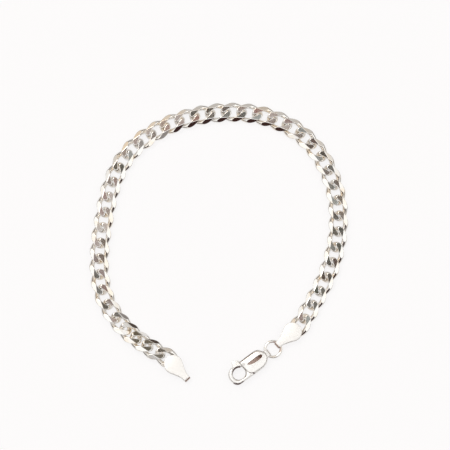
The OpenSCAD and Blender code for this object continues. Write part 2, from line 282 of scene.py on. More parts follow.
class Route:
    """Places each link along the chain's middle line."""

    def __init__(self, sizes):
        points = [Vector(p) for p in ROUTE_POINTS]
        points = [2 * points[0] - points[1]] + points + [2 * points[-1] - points[-2]]
        line = []
        for i in range(len(points) - 3):
            for j in range(SPLINE_STEPS):
                w = spline_weights(j / SPLINE_STEPS)
                line.append(sum((points[i + k] * w[k] for k in range(4)), Vector((0, 0))))
        line.append(Vector(ROUTE_POINTS[-1]))
        lengths = [0.0]
        for a, b in zip(line, line[1:]):
            lengths.append(lengths[-1] + (b - a).length)
        self.sizes = sizes
        self.line = line
        self.lengths = lengths
        self.chain = [0.0]
        for i in range(1, sizes.link_count + 2):
            share = KINKS[i][0] if i in KINKS else 1.0
            self.chain.append(self.chain[-1] + sizes.pitch * share)
        self.scale = self.chain[-1] / lengths[-1]

    def at(self, s):
        """Point at a distance along the chain."""
        s = min(max(s / self.scale, 0), self.lengths[-1])
        i = 0
        while i < len(self.lengths) - 2 and self.lengths[i + 1] < s:
            i += 1
        t = (s - self.lengths[i]) / (self.lengths[i + 1] - self.lengths[i])
        return MIDDLE_SHIFT + self.line[i].lerp(self.line[i + 1], t) * self.scale

    def place(self, i):
        return self.at(self.chain[i])

    def heading(self, i):
        """Direction of the chain at link i."""
        s = self.chain[i]
        d = self.at(min(s + TANGENT_STEP, self.chain[-1])) - self.at(max(s - TANGENT_STEP, 0))
        return math.atan2(d.y, d.x)

    def lift(self, roll):
        """A rolled link stands on the lower edge of its flat or of its bevel."""
        c = self.sizes
        up, across = math.cos(roll), abs(math.sin(roll))
        return max(
            c.flat / 2 * across + c.thickness / 2 * up,
            c.width / 2 * across + c.edge / 2 * up,
        )

    def link_matrix(self, i):
        roll = math.radians(KINKS[i][1]) if i in KINKS else 0.0
        p = self.place(i)
        return (
            Matrix.Translation((p.x, p.y, self.lift(roll)))
            @ Matrix.Rotation(self.heading(i), 4, "Z")
            @ Matrix.Rotation(roll, 4, "X")
        )


def flat_matrix(place, turn, height=0.0):
    """Place on the table with a turn round the vertical."""
    return Matrix.Translation((place.x, place.y, height)) @ Matrix.Rotation(turn, 4, "Z")


def along(turn):
    """Unit vector in a direction."""
    return Vector((math.cos(turn), math.sin(turn)))


def hang_distance(ring, bore, width):
    """Distance from the ring's middle to a hole that is pulled against its wire."""
    radius = (ring.outer - ring.wire) / 2
    slant = math.asin(width / 2 / radius)
    return radius * math.cos(slant) + bore / 2 - ring.wire / 2 / math.cos(slant) - ring.gap


class Places:
    """Where the end tabs, ring and clasp lie."""

    def __init__(self, scene):
        chain, tab = scene.bracelet_chain, scene.bracelet_tabs
        ring, clasp = scene.bracelet_ring, scene.bracelet_clasp
        self.route = route = Route(chain)
        last = chain.link_count + 1
        turn = route.heading(0) + math.pi + tab.free_turn
        self.free_tab = flat_matrix(route.place(0) + tab.free_seat * along(turn), turn)
        self.free_link = route.link_matrix(0)
        turn = route.heading(last) + tab.ring_link_turn
        self.ring_link = flat_matrix(route.place(last), turn, chain.thickness / 2)
        turn += tab.ring_turn
        place = route.place(last) + tab.ring_seat * along(turn)
        self.ring_tab = flat_matrix(place, turn)
        self.tab_height = chain.thickness + TAB_RISE
        self.ring_height = self.tab_height / 2
        reach = tab.reach + hang_distance(ring, tab.bore, tab.eye_width)
        place = place + reach * along(turn)
        self.ring = flat_matrix(place, 0, self.ring_height)
        turn += clasp.turn
        place = place + hang_distance(ring, clasp.ear_bore, clasp.ear_width) * along(turn)
        self.clasp = flat_matrix(place, turn)


# Mesh helpers

def signed_power(v, e):
    """Power that keeps the sign of v."""
    return math.copysign(abs(v) ** e, v)


def add_tube(bm, rings, closed):
    """Joins rings of points into a tube, with flat ends where it isn't closed."""
    rows = [[bm.verts.new(p) for p in ring] for ring in rings]
    n = len(rows[0])
    last = len(rows) if closed else len(rows) - 1
    for i in range(last):
        a, b = rows[i], rows[(i + 1) % len(rows)]
        for k in range(n):
            bm.faces.new((a[k], a[(k + 1) % n], b[(k + 1) % n], b[k]))
    if not closed:
        bm.faces.new(rows[0][::-1])
        bm.faces.new(rows[-1])


def oblong(x_low, x_high, y_low, y_high):
    return [
        Vector((x_low, y_low)), Vector((x_high, y_low)), Vector((x_high, y_high)),
        Vector((x_low, y_high)),
    ]


def disc(middle, radius, sides):
    return [middle + radius * along(2 * math.pi * k / sides) for k in range(sides)]


def prism(loop, low, high):
    """Upright bar with the loop as its section."""
    bm = bmesh.new()
    add_tube(bm, [[Vector((p.x, p.y, z)) for p in loop] for z in (low, high)], closed=False)
    return bm


def mark_edges(bm, limit):
    """Smooth shading with sharp edges where faces meet at more than the limit."""
    bm.normal_update()
    for face in bm.faces:
        face.smooth = True
    for edge in bm.edges:
        edge.smooth = len(edge.link_faces) == 2 and edge.calc_face_angle(0) < limit


def new_piece(name, bm, matrix, silver):
    """Object from a mesh in local millimetres, put in its place and turned into metres."""
    mesh = bpy.data.meshes.new(name)
    bmesh.ops.recalc_face_normals(bm, faces=bm.faces)
    bm.transform(Matrix.Scale(MM, 4) @ matrix)
    bm.to_mesh(mesh)
    bm.free()
    piece = bpy.data.objects.new(name, mesh)
    bpy.context.scene.collection.objects.link(piece)
    for material in silver:
        mesh.materials.append(material)
    return piece


def dress(piece, body, slot, *nodes):
    """Says which body the piece rides on and which nodes it stands for; the finish slot is not used.
    """
    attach(piece, body)
    if nodes:
        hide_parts(*nodes)


def check_place(piece, name, tolerance):
    """Stops the script if a piece isn't where its node is."""
    low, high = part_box(name)
    for k in range(3):
        values = [v.co[k] for v in piece.data.vertices]
        off = max(abs(min(values) - low[k]), abs(max(values) - high[k])) / MM
        if off > tolerance:
            raise RuntimeError("%s is %.3f mm off its node %s" % (piece.name, off, name))


def combine(target, other, operation):
    """Boolean of two scratch objects; the second one is deleted."""
    modifier = target.modifiers.new("combine", "BOOLEAN")
    modifier.operation = operation
    modifier.solver = "EXACT"
    modifier.object = other
    graph = bpy.context.evaluated_depsgraph_get()
    mesh = bpy.data.meshes.new_from_object(target.evaluated_get(graph), depsgraph=graph)
    target.modifiers.clear()
    old = target.data
    target.data = mesh
    bpy.data.meshes.remove(old)
    gone = other.data
    bpy.data.objects.remove(other)
    bpy.data.meshes.remove(gone)
    if not mesh.polygons:
        raise RuntimeError("the pieces of " + target.name + " did not combine")


def scratch(name, bm, mark=lambda middle, normal: 0):
    """Object in local millimetres for the booleans, with each face marked for its material."""
    bmesh.ops.recalc_face_normals(bm, faces=bm.faces)
    bm.normal_update()
    for face in bm.faces:
        face.material_index = int(mark(face.calc_center_median(), face.normal))
    mesh = bpy.data.meshes.new(name)
    bm.to_mesh(mesh)
    bm.free()
    piece = bpy.data.objects.new(name, mesh)
    bpy.context.scene.collection.objects.link(piece)
    return piece


def finish_boolean(piece, name, matrix, silver, limit=math.radians(32)):
    """Turns a combined scratch object into a piece with clean shading."""
    bm = bmesh.new()
    bm.from_mesh(piece.data)
    gone = piece.data
    bpy.data.objects.remove(piece)
    bpy.data.meshes.remove(gone)
    bmesh.ops.remove_doubles(bm, verts=bm.verts, dist=1e-4)
    bmesh.ops.dissolve_degenerate(bm, edges=bm.edges, dist=1e-4)
    mark_edges(bm, limit)
    return new_piece(name, bm, matrix, silver)


def smooth_loop(points, steps=6):
    """Closed Catmull-Rom curve through the points."""
    points = [Vector(p) for p in points]
    n = len(points)
    loop = []
    for i in range(n):
        a, b, c, d = (points[(i + k - 1) % n] for k in range(4))
        for j in range(steps):
            t = j / steps
            loop.append(0.5 * (
                2 * b + (c - a) * t + (2 * a - 5 * b + 4 * c - d) * t * t
                + (3 * b - a - 3 * c + d) * t ** 3))
    return loop


def subdivide_loop(points, steps):
    """Closed outline with steps points on each side and none on its corners."""
    n = len(points)
    return [
        points[i].lerp(points[(i + 1) % n], (j + 0.5) / steps) for i in range(n) for j in range(steps)
    ]


def add_pebble(bm, loop, low, high, inset, rise, steps=8, crown=0.0):
    """Plate with rounded edges: its outline shrinks by inset while it climbs by rise.

    With a crown, the upper face goes on climbing to its middle by that much.
    """
    xs, ys = [p.x for p in loop], [p.y for p in loop]
    middle = Vector(((min(xs) + max(xs)) / 2, (min(ys) + max(ys)) / 2))
    half_x, half_y = (max(xs) - min(xs)) / 2, (max(ys) - min(ys)) / 2
    brim = high - crown
    profile = edge_profile(inset, rise, steps)
    rows = [(1 - d / half_x, 1 - d / half_y, low + z) for d, z in profile]
    rows += [(1 - d / half_x, 1 - d / half_y, brim - z) for d, z in reversed(profile)]
    if crown:
        face_x, face_y, _z = rows[-1]
        for share in (0.85, 0.7, 0.55, 0.4, 0.25, 0.1):
            rows.append((face_x * share, face_y * share, high - crown * share * share))
    add_tube(bm, [
        [Vector((
            middle.x + (p.x - middle.x) * across, middle.y + (p.y - middle.y) * up, z)) for p in loop]
        for across, up, z in rows
    ], closed=False)


def edge_profile(inset, rise, steps):
    """Quarter ellipse from the plate's face to its side: distance in, and distance up."""
    angles = [math.pi / 2 * k / steps for k in range(steps + 1)]
    return [(inset * (1 - math.sin(a)), rise * (1 - math.cos(a))) for a in angles]


# Materials

def node(tree, kind, **values):
    """Shader node with its settings and inputs, where an underscore stands for a space."""
    made = tree.nodes.new(kind)
    for key, value in values.items():
        if hasattr(made, key):
            setattr(made, key, value)
        else:
            made.inputs[key.replace("_", " ")].default_value = value
    return made


def polished(name, colour, warm, roughness, wear, edge):
    """Polished silver: soft ripples left by the buff, hairlines, and faint warm patches."""
    material = bpy.data.materials.new(name)
    material.use_nodes = True
    tree = material.node_tree
    shader = tree.nodes["Principled BSDF"]
    shader.inputs["Metallic"].default_value = 1.0
    place = tree.nodes.new("ShaderNodeTexCoord").outputs["Object"]

    def noise(source, scale, detail):
        made = node(tree, "ShaderNodeTexNoise", Scale=scale, Detail=detail)
        tree.links.new(source, made.inputs["Vector"])
        return made.outputs["Fac"]

    # Warm patches
    tint = node(tree, "ShaderNodeMix", data_type="RGBA")
    tint.inputs["A"].default_value = (*colour, 1)
    tint.inputs["B"].default_value = (*warm, 1)
    spread = node(tree, "ShaderNodeMapRange", From_Min=0.45, From_Max=0.75)
    tree.links.new(noise(place, 420.0, 2.0), spread.inputs["Value"])
    tree.links.new(spread.outputs["Result"], tint.inputs["Factor"])
    tree.links.new(tint.outputs["Result"], shader.inputs["Base Color"])

    # Haze of the polish
    dull = node(tree, "ShaderNodeMapRange", To_Min=roughness * 0.7, To_Max=roughness * 1.6)
    tree.links.new(noise(place, 1500.0, 3.0), dull.inputs["Value"])
    tree.links.new(dull.outputs["Result"], shader.inputs["Roughness"])

    # Ripples and worn edges
    bump = node(tree, "ShaderNodeBump", Strength=0.09 * wear, Distance=0.00004)
    tree.links.new(noise(place, 650.0, 1.0), bump.inputs["Height"])
    if edge:
        worn = node(tree, "ShaderNodeBevel", samples=6, Radius=edge)
        tree.links.new(worn.outputs["Normal"], bump.inputs["Normal"])

    # Hairlines
    stretch = node(
        tree, "ShaderNodeMapping", Scale=(1.0, 14.0, 3.0), Rotation=(0, 0, math.radians(35)))
    tree.links.new(place, stretch.inputs["Vector"])
    lines = node(tree, "ShaderNodeBump", Strength=0.1 * wear, Distance=0.000004)
    tree.links.new(noise(stretch.outputs["Vector"], 2600.0, 2.0), lines.inputs["Height"])
    tree.links.new(bump.outputs["Normal"], lines.inputs["Normal"])
    tree.links.new(lines.outputs["Normal"], shader.inputs["Normal"])
    return material


def silver_materials(scene):
    """The four silvers, the painted edge shade and the brown patina with painted shade, each made
    once.
    """
    look = scene.bracelet_silver
    rows = [
        (slot, slot + "_polish", look.colour, look.warm if patches else look.colour,
            look.roughness * rough, wear, edge)
        for slot, (wear, rough, patches, edge) in FINISHES.items()
    ]
    # Painted shade and dark reflection for the clasp's edges, then brown patina that also paints shade
    rows.append(("edge_shade", "painted_edge_shade", look.edge_shade, look.edge_shade, 0.45, 1.0, WORN_EDGE))
    rows.append(("patina_and_shade", "brown_patina_and_shade", look.patina_and_shade, look.patina_and_shade, 0.35, 1.0, WORN_EDGE))
    return {
        slot: bpy.data.materials.get(name) or polished(name, *values)
        for slot, name, *values in rows
    }


# Curb link

def wire_point(c, a):
    half_length = (c.pitch + c.wire + c.play) / 2
    half_width = c.width / 2 - c.wire / 2
    e = 2 / c.squareness
    x = half_length * signed_power(math.cos(a), e)
    y = half_width * signed_power(math.sin(a), e)
    turn = -c.twist * x / half_length
    return Vector((x, y * math.cos(turn), y * math.sin(turn))), turn


def cut_planes(c, tip):
    """Point and outward normal of each facet that is cut on a link."""
    top, flat, edge = c.thickness / 2, c.flat / 2, c.edge / 2
    planes = [((0, 0, top), (tip.x, tip.y, 1)), ((0, 0, -top), (0, 0, -1))]
    for y in (1, -1):
        for z in (1, -1):
            planes.append(((0, y * flat, z * top), (0, y * (top - edge), z * (c.width / 2 - flat))))
    return [(Vector(point), Vector(normal).normalized()) for point, normal in planes]


def face_tips(scene, i, turn):
    """How far the cutter tipped a link's two top faces, as slopes in the link's own frame."""
    reach = math.tan(scene.bracelet_chain.face_tip)
    back = Matrix.Rotation(-turn, 2)
    return [
        back @ Vector((math.sin(k * 12.9898 + 1.3), math.sin(k * 78.233 + 0.7))) * reach
        for k in (2 * i, 2 * i + 1)
    ]


def clip(section, across, up, limit):
    """Cuts a closed section at a line and keeps the part below the limit."""
    kept = []
    for (ax, ay), (bx, by) in zip(section, section[1:] + section[:1]):
        a = across * ax + up * ay - limit
        b = across * bx + up * by - limit
        if a <= 0:
            kept.append((ax, ay))
        if a * b < 0:
            t = a / (a - b)
            kept.append((ax + t * (bx - ax), ay + t * (by - ay)))
    return kept


def soften(section, count, soft):
    """Spaces a section's points evenly and rounds its corners."""
    ring = section + section[:1]
    lengths = [0.0]
    for (ax, ay), (bx, by) in zip(ring, ring[1:]):
        lengths.append(lengths[-1] + math.hypot(bx - ax, by - ay))
    fine = 3 * count
    even = []
    j = 0
    for i in range(fine):
        s = lengths[-1] * i / fine
        while lengths[j + 1] < s:
            j += 1
        t = (s - lengths[j]) / (lengths[j + 1] - lengths[j])
        (ax, ay), (bx, by) = ring[j], ring[j + 1]
        even.append((ax + t * (bx - ax), ay + t * (by - ay)))
    reach = max(1, round(soft / lengths[-1] * fine))
    made = []
    for i in range(0, fine, 3):
        near = [even[(i + k) % fine] for k in range(-reach, reach + 1)]
        made.append((sum(p[0] for p in near) / len(near), sum(p[1] for p in near) / len(near)))
    return made


def curb_link(c, tips=(Vector((0, 0)), Vector((0, 0)))):
    """Twisted oval of round wire with flats and bevels cut on it, in local millimetres."""
    fine = 2880
    angles = [2 * math.pi * i / fine for i in range(fine + 1)]
    points = [wire_point(c, a)[0] for a in angles]
    lengths = [0.0]
    for a, b in zip(points, points[1:]):
        lengths.append(lengths[-1] + (b - a).length)
    # The section starts on the wire's inner side, which is never cut
    turns = [2 * math.pi * k / (2 * c.sides) - math.pi / 2 for k in range(2 * c.sides)]
    wire = [(c.wire / 2 * math.cos(b), c.wire / 2 * math.sin(b)) for b in turns]
    planes = [cut_planes(c, tip) for tip in tips]
    rings = []
    j = 0
    for i in range(c.steps):
        while lengths[j + 1] < lengths[-1] * i / c.steps:
            j += 1
        middle, turn = wire_point(c, angles[j])
        ahead = (wire_point(c, angles[j] + 1e-3)[0] - wire_point(c, angles[j] - 1e-3)[0]).normalized()
        up = Vector((0, -math.sin(turn), math.cos(turn)))
        u = (up - ahead * up.dot(ahead)).normalized()
        v = ahead.cross(u)
        section = wire
        for point, normal in planes[0 if middle.x > 0 else 1]:
            section = clip(section, normal.dot(u), normal.dot(v), normal.dot(point - middle))
        rings.append([middle + x * u + y * v for x, y in soften(section, c.sides, c.soft)])
    bm = bmesh.new()
    add_tube(bm, rings, closed=True)
    bmesh.ops.recalc_face_normals(bm, faces=bm.faces)
    bm.normal_update()
    # The facets stay flat right up to their edges
    facets = [normal for _point, normal in planes[0] + planes[1]]
    for face in bm.faces:
        face.smooth = max(face.normal.dot(normal) for normal in facets) < 0.99995
    return bm


class BRACELET_OT_links(Operator):
    """Make the loose curb links of the chain"""

    bl_idname = "bracelet.links"
    bl_label = "Links"

    def execute(self, context):
        scene = context.scene
        sizes = scene.bracelet_chain
        route = Places(scene).route
        silver = silver_materials(scene)["chain_silver"]
        for i in range(1, sizes.link_count + 1):
            name = "link_%02d" % i
            link = curb_link(sizes, face_tips(scene, i, route.heading(i)))
            piece = new_piece("curb_" + name, link, route.link_matrix(i), [silver])
            check_place(piece, name, LINK_FIT)
            dress(piece, CHAIN_BODY, "chain_silver", name)
        return {"FINISHED"}


# End tabs

def tab_half_width(tab, x):
    """Half the width of the pear-shaped sheet at a distance along it."""
    shoulder, reach = tab.radius * 0.4, tab.reach
    if x <= shoulder:
        return math.sqrt(max(tab.radius ** 2 - x * x, 0))
    start = math.sqrt(tab.radius ** 2 - shoulder ** 2)
    end = tab.eye_width / 2
    t = min((x - shoulder) / (reach - shoulder), 1)
    slope = -shoulder / start * (reach - shoulder)
    # A cubic that leaves the round end smoothly and meets the eye straight
    a = 2 * start - 2 * end + slope
    b = -3 * start + 3 * end - 2 * slope
    return max(a * t ** 3 + b * t * t + slope * t + start, end)


def sheet_section(width, half_sheet, round_steps=4):
    """Cross-section of the sheet with round edges: across, and out of its middle."""
    r = min(half_sheet, width)
    points = []
    for side, start in ((1, -90), (-1, 90)):
        for k in range(round_steps * 2 + 1):
            a = math.radians(start + 180 * k / (round_steps * 2))
            points.append((side * (width - r) + r * math.cos(a), half_sheet * math.sin(a)))
    return points


def folded_sheet(tab, height):
    """Sheet folded round the eye: in along the lower leaf, round the eye, back along the upper."""
    middle, half_sheet = height / 2, tab.sheet / 2
    eye = tab.bore / 2 + half_sheet - 0.025
    far = middle - half_sheet
    start = -tab.radius * 0.999
    stations = 44
    leaf = []
    for i in range(stations + 1):
        x = start + (tab.reach - start) * (1 - math.cos(math.pi / 2 * i / stations))
        t = (x + tab.radius) / (tab.reach + tab.radius)
        leaf.append((x, far + (eye - far) * t))
    lower = [(x, -z, 0, -1) for x, z in leaf]
    upper = [(x, z, 0, 1) for x, z in reversed(leaf)]
    turn = [
        (tab.reach + eye * math.cos(a), eye * math.sin(a), math.cos(a), math.sin(a))
        for a in (math.radians(-90 + 180 * k / 20) for k in range(1, 20))
    ]
    rings = []
    for x, z, nx, nz in lower + turn + upper:
        width = tab_half_width(tab, x) if x < tab.reach else tab.eye_width / 2
        rings.append([
            Vector((x + nx * out, across, middle + z + nz * out))
            for across, out in sheet_section(max(width, 0.02), half_sheet)
        ])
    bm = bmesh.new()
    add_tube(bm, rings, closed=False)
    return bm


def closing_wedge(tab, height):
    """Metal between the leaves where they close in front of the eye."""
    middle = height / 2
    back = tab.reach - tab.bore / 2 - 2 * tab.sheet
    half = tab.bore / 2 + 0.1
    loop = oblong(back, tab.reach, -half, half)
    bm = bmesh.new()
    add_tube(bm, [
        [Vector((p.x, side * (tab_half_width(tab, p.x) - 0.06), middle + p.y)) for p in loop]
        for side in (-1, 1)
    ], closed=False)
    return bm


def bore_cutter(centre, radius, half_width, sides=48):
    """Round bar across the piece, with its centre given as distance along and height."""
    loop = disc(centre, radius, sides)
    bm = bmesh.new()
    add_tube(bm, [
        [Vector((p.x, across, p.y)) for p in loop] for across in (-half_width, half_width)
    ], closed=False)
    return bm


def make_tab(scene, name, node_name, height, tab_place, link_place):
    """One end tab: folded sheet, bored eye and the chain's last link soldered between the leaves."""
    tab, chain = scene.bracelet_tabs, scene.bracelet_chain

    def eye_flank_shade(middle, normal):
        """Painted dark reflection in brown on the end flank of the rolled eye."""
        stripe = middle.x > tab.reach and normal.z > 0.1 and 0.5 < normal.x < 0.95
        return PATINA_AND_SHADE if stripe else 0

    piece = scratch(name + "_sheet", folded_sheet(tab, height), eye_flank_shade)
    combine(piece, scratch(name + "_wedge", closing_wedge(tab, height)), "UNION")
    eye = Vector((tab.reach, height / 2))
    bore = scratch(name + "_bore", bore_cutter(eye, tab.bore / 2, tab.eye_width))
    combine(piece, bore, "DIFFERENCE")
    # The soldered link's faces take the second material, which is the chain's silver here
    link = scratch(name + "_link", curb_link(chain), lambda middle, normal: 1)
    link.data.transform(tab_place.inverted() @ link_place)
    combine(piece, link, "UNION")
    silver = silver_materials(scene)
    made = finish_boolean(
        piece, name, tab_place,
        [silver["tab_silver"], silver["chain_silver"], silver["patina_and_shade"]])
    check_place(made, node_name, SHAPED_FIT)
    dress(made, CHAIN_BODY, "tab_silver", node_name)


class BRACELET_OT_end_tabs(Operator):
    """Make the two folded end tabs with their soldered links"""

    bl_idname = "bracelet.end_tabs"
    bl_label = "End tabs"

    def execute(self, context):
        places = Places(context.scene)
        for name, node_name, tab_place, link_place in (
            ("free_tab", "end_tab_free", places.free_tab, places.free_link),
            ("ring_tab", "end_tab_ring", places.ring_tab, places.ring_link),
        ):
            make_tab(context.scene, name, node_name, places.tab_height, tab_place, link_place)
        return {"FINISHED"}


class BRACELET_OT_jump_ring(Operator):
    """Make the round wire ring between the tab and the clasp"""

    bl_idname = "bracelet.jump_ring"
    bl_label = "Jump ring"

    def execute(self, context):
        scene = context.scene
        ring = scene.bracelet_ring
        place = Places(scene).ring
        radius, wire = (ring.outer - ring.wire) / 2, ring.wire / 2
        sections, sides = 120, 28
        rings = []
        for i in range(sections):
            a = 2 * math.pi * i / sections
            rings.append([
                Vector((
                    (radius + wire * math.cos(b)) * math.cos(a),
                    (radius + wire * math.cos(b)) * math.sin(a),
                    wire * math.sin(b)))
                for b in (2 * math.pi * k / sides for k in range(sides))
            ])
        bm = bmesh.new()
        add_tube(bm, rings, closed=True)
        turned = place.to_3x3()
        for face in bm.faces:
            face.smooth = True
            middle = face.calc_center_median()
            out = middle.xy.length - radius
            # Painted shade and dark reflection: a brown crescent on the inner flank, to the north east
            way = (turned @ Vector((middle.x, middle.y, 0))).normalized()
            reach = min((way.x + 0.7 * way.y - 0.3) / 0.5, 1)
            face.material_index = int(middle.z > -0.1 and out < wire * (reach - 1))
        silver = silver_materials(scene)
        piece = new_piece("wire_ring", bm, place, [silver["ring_silver"], silver["patina_and_shade"]])
        check_place(piece, "jump_ring", RING_FIT)
        dress(piece, CHAIN_BODY, "ring_silver", "jump_ring")
        return {"FINISHED"}


# Clasp. Local frame as in the model: origin under the base hole, +X to the claw's end.

class ClaspForm:
    """Places of the clasp's features in its local frame."""

    def __init__(self, c):
        self.half = c.width / 2
        self.mid = c.thickness / 2
        self.claw_r = (c.width - c.claw_draw) / 2
        self.claw_mid = c.reach - self.claw_r
        self.claw_low = self.half - c.claw_draw
        self.claw_centre = Vector((self.claw_mid, self.claw_low - self.claw_r))
        self.corner = Vector((c.reach - c.claw_corner - 0.15, self.claw_low - c.claw_corner))
        # Middles of the opening's two round ends
        gap_end = c.reach - c.claw_wall
        gap_mid = self.claw_low - c.claw_side - c.claw_gap / 2
        self.opening_near = Vector((gap_end - c.claw_gap_length + c.claw_gap / 2, gap_mid))
        self.opening_far = Vector((gap_end - c.claw_gap / 2, gap_mid))
        self.hinge = Vector((c.casing - HINGE_BACK, -self.half + HINGE_IN))
        # Outer and inner side of the lever's arm, and its slanted end
        self.arm_out = -self.half + GAP
        self.arm_in = -self.half + c.arm_width
        self.tip_out = self.claw_mid + 0.1
        self.tip_in = self.claw_mid + 0.55


def claw_reach(c, form, way):
    """Distance from the claw's middle to its outer side, past the fuller lower corner."""
    corner = form.corner - form.claw_centre
    ahead = corner.dot(way)
    inside = ahead ** 2 - corner.length_squared + c.claw_corner ** 2
    return max(form.claw_r, ahead + math.sqrt(max(inside, 0)))


def claw_rings(c, form):
    """Rings of the claw's bar, from inside the casing round the opening to its slanted tip."""
    radius = c.claw_gap / 2
    near, far = form.opening_near, form.opening_far
    side_end = Vector((c.casing * 0.78, form.half))
    back = Vector((c.casing * 0.55, near.y - 0.3))
    corner = Vector((c.casing * 0.62, form.half - 0.1))
    down = along(math.pi / 2)
    low = form.claw_centre + claw_reach(c, form, down) * down
    root_steps, side_steps, hook_steps, sides = 12, 14, 56, 28
    # Inner and outer point of each ring
    pairs = []
    for k in range(root_steps + 1):
        t = k / root_steps
        inner = near + radius * along(math.radians(180 - 90 * t))
        pairs.append((inner, back.lerp(corner, t).lerp(corner.lerp(side_end, t), t)))
    for k in range(1, side_steps):
        t = k / side_steps
        pairs.append(((near + radius * down).lerp(far + radius * down, t), side_end.lerp(low, t)))
    for k in range(hook_steps + 1):
        t = k / hook_steps
        way = along(math.radians(90 - 142 * t - 34 * t ** 3))
        inner = far + radius * along(math.radians(90 - 142 * t))
        pairs.append((inner, form.claw_centre + claw_reach(c, form, way) * way))
    rings = []
    for inner, outer in pairs:
        mid, half = (inner + outer) / 2, (outer - inner) / 2
        ring = []
        for k in range(sides):
            b = 2 * math.pi * k / sides
            across = signed_power(math.cos(b), 0.8)
            up = signed_power(math.sin(b), 0.8) * c.claw_thickness / 2
            p = mid + half * across
            ring.append(Vector((p.x, p.y, form.mid + up)))
        rings.append(ring)
    return rings


def window_loop(c):
    """Outline of the slot that narrows towards the claw."""
    start = Vector((c.ear_bore / 2 + c.ear_wall + 0.5, -0.35))
    return smooth_loop([
        start + Vector((x * c.window_length, y * c.window_width)) for x, y in WINDOW_SHARES])


def window_cutter(c):
    """The window's recess, whose floor rises towards the claw."""
    loop = window_loop(c)
    first, last = min(p.x for p in loop), max(p.x for p in loop)
    rise = 0.75 * (c.thickness - c.window_floor)
    bm = bmesh.new()
    add_tube(bm, [
        [Vector((p.x, p.y, c.window_floor + rise * (p.x - first) / (last - first))) for p in loop],
        [Vector((p.x, p.y, c.thickness + 1)) for p in loop],
    ], closed=False)
    return bm


class BRACELET_OT_clasp(Operator):
    """Make the lobster clasp's casing with its claw"""

    bl_idname = "bracelet.clasp"
    bl_label = "Clasp"

    def execute(self, context):
        scene = context.scene
        c = scene.bracelet_clasp
        form = ClaspForm(c)
        places = Places(scene)
        bm = bmesh.new()
        loop = smooth_loop([(x * c.casing, y * form.half) for x, y in CASING_SHARES])
        add_pebble(bm, loop, 0, c.thickness, 0.85, 0.8, crown=c.crown)

        def shaded_edges(middle, normal):
            """Painted shade and dark reflection on the upper edge of the front, broad at its lower
            corner, and of the lever's side.
            """
            upper = middle.z > form.mid and normal.z > 0
            front = middle.x > 0.76 * c.casing and middle.y > -1.35
            front = front and (normal.x > 0.1 or middle.y > 1.9)
            front = front and normal.z < (0.92 if middle.y > 1.1 else 0.5)
            lever_side = normal.y < -0.7 and normal.z < 0.66
            return EDGE_SHADE if upper and (front or lever_side) else 0

        piece = scratch("casing", bm, shaded_edges)
        bm = bmesh.new()
        add_tube(bm, claw_rings(c, form), closed=False)

        def shaded_claw(middle, normal):
            """Painted shade inside the tip, and a painted dark reflection in a crescent on the outer
            side of the lower corner.
            """
            beyond = middle.xy - form.opening_far
            at = math.degrees(math.atan2(beyond.y, beyond.x))
            out = normal.xy.dot(beyond.normalized())
            tip = -100 < at < -28 and out < -0.3 - 0.6 * ((at + 100) / 72) ** 2
            corner = abs(at - 56) < 34 and out > 0.4 + 0.6 * ((at - 56) / 34) ** 2
            return EDGE_SHADE if tip or corner and normal.z > 0 else 0

        combine(piece, scratch("claw", bm, shaded_claw), "UNION")
        ear_r = c.ear_bore / 2 + c.ear_wall
        height = places.ring_height
        eye = Vector((0, height))
        combine(piece, scratch("ear", bore_cutter(eye, ear_r, c.ear_width / 2)), "UNION")
        bar = oblong(0, c.casing / 4, -c.ear_width / 2, c.ear_width / 2)
        combine(piece, scratch("ear_bar", prism(bar, height - ear_r, height + ear_r)), "UNION")
        hole = scratch("ear_hole", bore_cutter(eye, c.ear_bore / 2, c.width))
        combine(piece, hole, "DIFFERENCE")
        # The window's recess takes the brown colour: patina in the hollow and painted shade
        window = scratch("window", window_cutter(c), lambda middle, normal: PATINA_AND_SHADE)
        combine(piece, window, "DIFFERENCE")
        # Slot for the lever, open to the side and to the front
        slot = c.lever / 2 + GAP
        cheek = oblong(
            form.hinge.x - HUB_RADIUS - 0.2, c.casing + GAP, -c.width, form.hinge.y + HUB_RADIUS + 0.1)
        combine(piece, scratch("slot", prism(cheek, form.mid - slot, form.mid + slot)), "DIFFERENCE")
        hole = prism(disc(form.hinge, c.pin / 2 + PIN_GAP, 32), -1, c.thickness + 1)
        combine(piece, scratch("pin_hole", hole), "DIFFERENCE")
        silver = silver_materials(scene)
        made = finish_boolean(
            piece, "clasp_casing", places.clasp,
            [silver["clasp_silver"], silver["edge_shade"], silver["patina_and_shade"]])
        check_place(made, "clasp_body", SHAPED_FIT)
        dress(made, CHAIN_BODY, "clasp_silver", "clasp_body")
        return {"FINISHED"}


def arm_rows(c, form):
    """Outlines of the lever's arm, from its lower face up.

    The inner side follows the round opening and leans away from it.
    """
    start = c.casing + 0.2
    rows = []
    for share, inset, radius in ARM_ROWS:
        z = form.mid + (share - 0.5) * c.arm
        row = [(start + (form.tip_out - start) * k / 6, form.arm_out + inset) for k in range(7)]
        for k in range(13):
            x = form.tip_in + (start - form.tip_in) * k / 12
            centre = min(max(x, form.opening_near.x), form.opening_far.x)
            rise = math.sqrt(max(radius ** 2 - (x - centre) ** 2, 0))
            row.append((x, min(form.opening_far.y - rise, form.arm_in + 0.6)))
        rows.append([Vector((x, y, z)) for x, y in row])
    return rows


